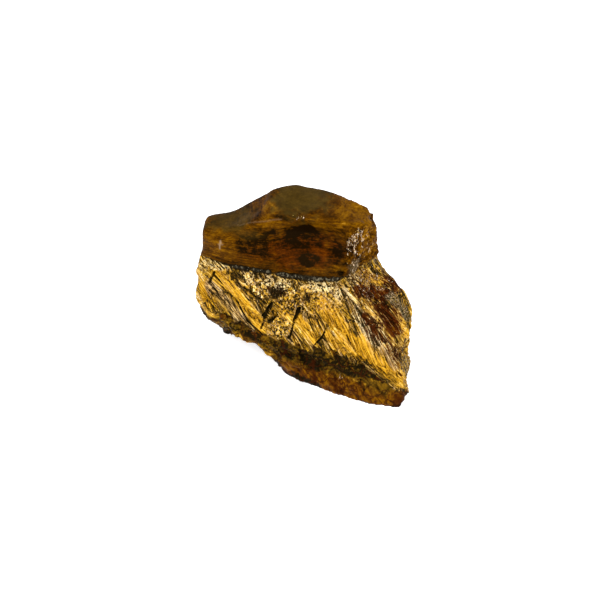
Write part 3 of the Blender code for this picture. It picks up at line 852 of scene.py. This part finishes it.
def band_colour(n):
    """The golden fibres: fresh or weathered, whitish at their ends, and stained by rust."""
    strands = n.clouds(n.strands(16.0, 0.62, 0.62), 3.0, 0.65)
    hairs = n.clouds(n.strands(6.0, 0.2, 0.2), 2.0, 0.6)
    faded = n.spread(n.noise(n.strands(12.0, 1.0, 1.0), 2.0, 0.6), 0.5, 0.68)
    grit = n.clouds(n.mapped(0.3, 0.3, 0.3), 2.0, 0.6)
    whole = n.math("SUBTRACT", 1.0, "grain")
    threaded = n.times(whole, n.spread("gold", 0.2, 0.9, 1.0, 0.12))
    # Thin pale lines along the fibres: painted glints
    glint_threads = n.times(n.threads(n.strands(11.0, 0.95, 0.95), 0.03), threaded)
    light = fibre_light(n, strands, hairs, grit, glint_threads, threaded)

    result = n.ramp(light, (0.0, "gap"), (0.2, "brown"), (0.42, "ochre"), (0.68, "gold"), (0.96, "cream"))
    warm = n.ramp(light, (0.0, "gap"), (0.2, "cap_orange"), (0.45, "amber"), (0.75, "gold"), (1.0, "cream"))
    amber = n.spread(n.noise(n.strands(15.0, 2.4, 2.4), 3.0, 0.6), 0.42, 0.6, 0.0, 0.6)
    result = n.mix(n.highest(amber, n.times("gold", 0.75)), result, warm)
    weathered = n.ramp(light, (0.05, "gap"), (0.45, "lilac"), (0.8, "cream"))
    not_fresh = n.spread("gold", 0.0, 0.8, 1.0, 0.25)
    result = n.mix(n.times(faded, not_fresh, 0.6), result, weathered)
    specks = n.spread(n.noise(n.mapped(0.36, 0.36, 0.5), 1.0), 0.52, 0.62)
    result = n.mix(n.times(specks, "grain", 0.75), result, weathered)
    # Whitish fibre ends, partly a painted highlight along the band's top edge
    cream = n.times("cream", n.spread(grit, 0.35, 0.75, 0.1, 0.85))
    result = n.mix(n.times(cream, n.spread(light, 0.15, 0.4)), result, n.paint("cream"))
    result = n.mix(n.times("pale", n.spread(strands, 0.1, 0.7, 0.2, 0.9)), result, weathered)
    threads = n.highest(n.times("rust", 0.25), n.times(glint_threads, 0.3))
    result = n.mix(threads, result, weathered)

    stain = n.add(("rust", 1.2), (hairs, -0.5), (strands, -0.3), (glint_threads, -0.5))
    tone = n.add((light, 0.6), (n.clouds(n.strands(3.0, 0.3, 0.3), 3.0, 0.7), 0.5))
    stained = n.ramp(tone, (0.1, "cap_dark"), (0.5, "rust"), (0.85, "cap_orange"))
    return n.mix(n.spread(stain, -0.1, 0.5), result, stained)


def cap_colour(n):
    """The brown cap: streaked where it is smooth, gritty where it is broken, olive on its top."""
    streaks = n.clouds(n.mapped(6.0, 6.0, 0.42), 3.0, 0.6, 0.5)
    clouds = n.clouds(n.mapped(3.0, 3.0, 2.0), 3.0, 0.6, 0.4)
    fine = n.clouds(n.mapped(0.7, 0.7, 0.3), 2.0, 0.6)
    grit = n.clouds(n.mapped(0.6, 0.6, 0.5), 3.0, 0.7)
    smooth = n.add((streaks, 0.28), (clouds, 0.24), (fine, 0.2))
    broken = n.add((grit, 0.5), ("facet", 0.3), (clouds, 0.2), -0.02)
    mottle = n.spread(n.noise(n.mapped(1.8, 1.8, 1.3), 4.0, 0.75), 0.36, 0.62, 0.2, 1.3)
    # Painted shade in hollows and in the cap's hollow under the lip of its top, painted highlight on raised
    # spots
    light = n.add(
        n.blend("rough", smooth, broken), -0.06, ("orange", 0.28), ("ridge", 0.15),
        ("hollow", -0.3), ("void", mottle, -0.5), ("dark", -0.5)
    )
    brown = n.ramp(light, (0.05, "cap_dark"), (0.4, "cap_brown"), (0.72, "cap_orange"), (1.0, "cap_gold"))
    red = n.ramp(light, (0.05, "cap_dark"), (0.5, "cap_red"), (1.0, "cap_orange"))
    brown = n.mix(n.times("rust", 0.9), brown, red)
    # Greyish olive on the cap's top; on the left of the top it is a painted highlight
    olive = n.ramp(light, (0.0, "olive", 0.5), (0.45, "olive"), (1.0, "olive", 1.7))
    return n.mix("olive", brown, olive)


def base_colour(n):
    """The dark base: broken shards with red joints, an orange-brown slab, and golden flecks."""
    shards = n.cells(n.mapped(2.4, 2.4, 3.0))
    grit = n.clouds(n.mapped(0.5, 0.5, 0.42), 2.0, 0.6)
    strands = n.clouds(n.strands(9.0, 0.9, 0.9), 3.0, 0.65)
    joints = n.threads(n.mapped(3.2, 3.2, 3.6), 0.032)
    # Painted shade in hollows, at the foot and under overhangs, and painted highlight on raised spots
    light = n.add(
        -0.24, (shards, 0.34), (grit, 0.24), ("facet", 0.3), (strands, 0.16), (joints, -0.2),
        ("olive", n.add(0.02, (strands, 0.4))), ("orange", 0.3), ("ridge", 0.25),
        ("gold", strands, 0.75), ("hollow", -0.5), ("void", -0.4)
    )
    slab = n.add((strands, 0.44), (shards, 0.06), ("hollow", -0.4), (joints, -0.25), 0.24)
    light = n.blend(n.spread("orange", 0.0, 0.7, 0.0, 0.95), light, slab)
    flecks = n.spread(n.noise(n.mapped(0.9, 0.9, 0.5), 2.0, 0.6), 0.5, 0.56, 0.0, 0.75)
    light = n.add(light, ("void", "flecked", flecks))
    brown = n.ramp(light, (0.02, "base_dark"), (0.36, "base_brown"), (0.7, "cap_orange"), (1.0, "cap_gold"))
    golden = n.ramp(light, (0.02, "base_dark"), (0.34, "base_olive"), (0.66, "brown"), (1.0, "ochre"))
    brown = n.mix(n.highest("olive", n.times("flecked", 0.8)), brown, golden)
    red = n.highest(n.times("rust", 0.8), n.times(joints, 0.8))
    return n.mix(red, brown, n.paint("rust", 0.5))


def stone_colour(n, speck, grit):
    """The layers one over another, and then what lies on them."""
    result = n.mix("band", base_colour(n), band_colour(n))
    seam = n.ramp(speck, (0.0, "seam", 0.1), (0.65, "seam", 0.4), (1.0, "seam", 3.2))
    result = n.mix("seam", result, seam)
    result = n.mix("cap", result, cap_colour(n))
    # Near-black along the parting's rims and in the pit at its right end; in the pit it is painted shade
    rim = n.times("rim", n.spread(grit, 0.3, 0.9, 1.0, 0.5))
    result = n.mix(rim, result, n.paint("base_dark"))
    crust = n.ramp(grit, (0.1, "base_dark"), (0.55, "grey"), (1.0, "lilac"))
    result = n.mix(n.times("grey", 0.9), result, crust)
    # Painted deep shade in the band's hollows, broken by grit
    dark = n.times("void", n.times("band", n.spread(grit, 0.5, 0.95, 0.92, 0.4)))
    result = n.mix(dark, result, n.paint("base_dark"))
    # Pale nicks, and a painted highlight along the lip of the cap's top
    result = n.mix(n.times("sheen", 0.7), result, n.paint("lilac"))
    # Painted glints: pale pinkish specks in strokes where the sparkle mark is
    strokes = n.add(
        (n.noise(n.mapped(0.26, 0.26, 1.0), 1.0, 0.6), 0.7), (n.noise(n.mapped(1.0, 1.0, 1.4), 1.0), 0.5),
        ("sparkle", 0.22), -0.08
    )
    sparkle = n.times(n.spread(strokes, 0.72, 0.8), n.spread("sparkle", 0.0, 0.2, 0.0, 0.85))
    splinters = n.ramp(grit, (0.0, "gold"), (0.3, "lilac"), (0.9, "pink"))
    return n.mix(sparkle, result, splinters)


def stone_material(colours):
    material = bpy.data.materials.new("tigers_eye_stone")
    material.use_nodes = True
    n = Nodes(material.node_tree, colours)
    shader = material.node_tree.nodes["Principled BSDF"]
    speck = n.cells(n.mapped(0.42, 0.42, 0.7))
    grit = n.clouds(n.mapped(0.3, 0.3, 0.3), 2.0, 0.6)
    n.put(shader.inputs["Base Color"], stone_colour(n, speck, grit))
    shader.inputs["Specular IOR Level"].default_value = GLOSS
    shader.inputs["Specular Tint"].default_value = GLOSS_TINT
    roughness = n.add(0.36, ("base", 0.1), (grit, 0.14), ("rough", 0.3))
    n.put(shader.inputs["Roughness"], roughness)

    hairs = n.noise(n.strands(2.2, 0.2, 0.2), 2.0, 0.6)
    waves = n.noise(n.mapped(1.6, 1.6, 0.35), 3.0, 0.6)
    height = n.add(
        (hairs, "band"), (grit, n.times(n.add("base", "seam"), 0.4)),
        (waves, n.times("cap", 0.5)), (speck, n.times("sparkle", 0.8))
    )
    bump = n.make("ShaderNodeBump")
    bump.inputs["Strength"].default_value = BUMP_STRENGTH
    bump.inputs["Distance"].default_value = BUMP_HEIGHT * MM
    n.put(bump.inputs["Height"], height)
    n.put(shader.inputs["Normal"], bump.outputs[0])
    return material


class STONE_OT_stone(bpy.types.Operator):
    """Lay the broken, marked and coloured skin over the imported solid"""

    bl_idname = "stone.stone"
    bl_label = "Rough stone"

    def execute(self, context):
        sizes = context.scene.stone_sizes
        stone = fine_skin(sizes)
        soften(stone.data, SOFTENING, lambda place: place.z > STAND_HEIGHT)
        soften(stone.data, CAP_SOFTENING, lambda place: place.z > CAP_FOOT and place.x < CAP_ROUGH_FROM)
        refine_front(stone.data)
        marks, strand = roughen(stone.data, sizes)
        bent = curvature(stone.data)
        # Painted shade in concave spots and painted highlight on raised ones, from the bend of the surface
        marks["hollow"] = np.maximum(marks["hollow"], np.clip(bent / FULL_BEND, 0.0, 1.0) * 0.8)
        marks["ridge"] = np.clip(-bent / FULL_BEND, 0.0, 1.0)
        for mark, values in marks.items():
            store(stone.data, mark, "FLOAT", "value", values)
        store(stone.data, "strand", "FLOAT_VECTOR", "vector", strand)
        stone.data.shade_smooth()
        stone.data.materials.clear()
        stone.data.materials.append(stone_material(context.scene.stone_colours))
        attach(stone, BODY)
        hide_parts(NODE)
        return {"FINISHED"}


def facing(direction):
    """The turn of a lamp or a camera that faces in the direction."""
    return direction.to_track_quat("-Z", "Y").to_euler()


def area_light(name, place, power, size):
    light = bpy.data.lights.new(name, "AREA")
    light.energy = power
    light.size = size
    obj = new_object(name, light)
    obj.location = place
    obj.rotation_euler = facing(LIGHT_AIM - Vector(place))


def floor_material(stage):
    material = bpy.data.materials.new("floor")
    material.use_nodes = True
    shader = material.node_tree.nodes["Principled BSDF"]
    shader.inputs["Base Color"].default_value = (*stage.floor, 1.0)
    shader.inputs["Roughness"].default_value = 0.9
    shader.inputs["Emission Color"].default_value = WHITE
    shader.inputs["Emission Strength"].default_value = stage.glow
    return material


class STONE_OT_stage(bpy.types.Operator):
    """Set out the pale floor, the soft lights and the camera"""

    bl_idname = "stone.stage"
    bl_label = "Stage"

    def execute(self, context):
        stage = context.scene.stone_stage
        shape = bmesh.new()
        bmesh.ops.create_grid(shape, x_segments=1, y_segments=1, size=FLOOR_HALF_SIZE)
        mesh = bpy.data.meshes.new("floor")
        shape.to_mesh(mesh)
        shape.free()
        floor = new_object("floor", mesh)
        mesh.materials.append(floor_material(stage))
        floor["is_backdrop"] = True

        world = bpy.data.worlds.new("studio")
        world.use_nodes = True
        background = world.node_tree.nodes["Background"]
        background.inputs["Color"].default_value = WHITE
        background.inputs["Strength"].default_value = stage.sky
        context.scene.world = world
        for name, place, size in LIGHTS:
            area_light(name, place, getattr(stage, name), size)

        camera = bpy.data.cameras.new("camera")
        camera.lens = stage.lens
        camera.clip_start = NEAREST_SEEN
        viewer = new_object("camera", camera)
        away = Vector((0, -math.cos(stage.elevation), math.sin(stage.elevation)))
        viewer.location = CAMERA_AIM * MM + stage.distance * away
        viewer.rotation_euler = facing(-away)
        context.scene.camera = viewer
        context.scene.view_settings.view_transform = "Standard"
        return {"FINISHED"}


class STONE_PT_panel(bpy.types.Panel):
    """The stone's sizes and colours, and its stage"""

    bl_idname = "STONE_PT_panel"
    bl_label = "Rough tiger's eye"
    bl_space_type = "VIEW_3D"
    bl_region_type = "UI"
    bl_category = "Stone"

    def draw(self, context):
        for operator in (STONE_OT_stone, STONE_OT_stage):
            self.layout.operator(operator.bl_idname)
        for group in (getattr(context.scene, name) for name in GROUPS):
            for name in group.bl_rna.properties.keys():
                if name not in ("rna_type", "name"):
                    self.layout.prop(group, name)


GROUPS = {"stone_sizes": StoneSizes, "stone_colours": StoneColours, "stone_stage": StageSettings}
CLASSES = (*GROUPS.values(), STONE_OT_stone, STONE_OT_stage, STONE_PT_panel)


def register():
    for kind in CLASSES:
        bpy.utils.register_class(kind)
    for name, group in GROUPS.items():
        setattr(bpy.types.Scene, name, PointerProperty(type=group))


def unregister():
    for name in GROUPS:
        delattr(bpy.types.Scene, name)
    for kind in reversed(CLASSES):
        bpy.utils.unregister_class(kind)


def main():
    register()
    bpy.ops.stone.stone()
    bpy.ops.stone.stage()
    boxes = {"cad": CAD_BOX, "visual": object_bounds()}
    {name: [list(map(float, corner)) for corner in box] for name, box in boxes.items()}


if __name__ == "__main__":
    main()
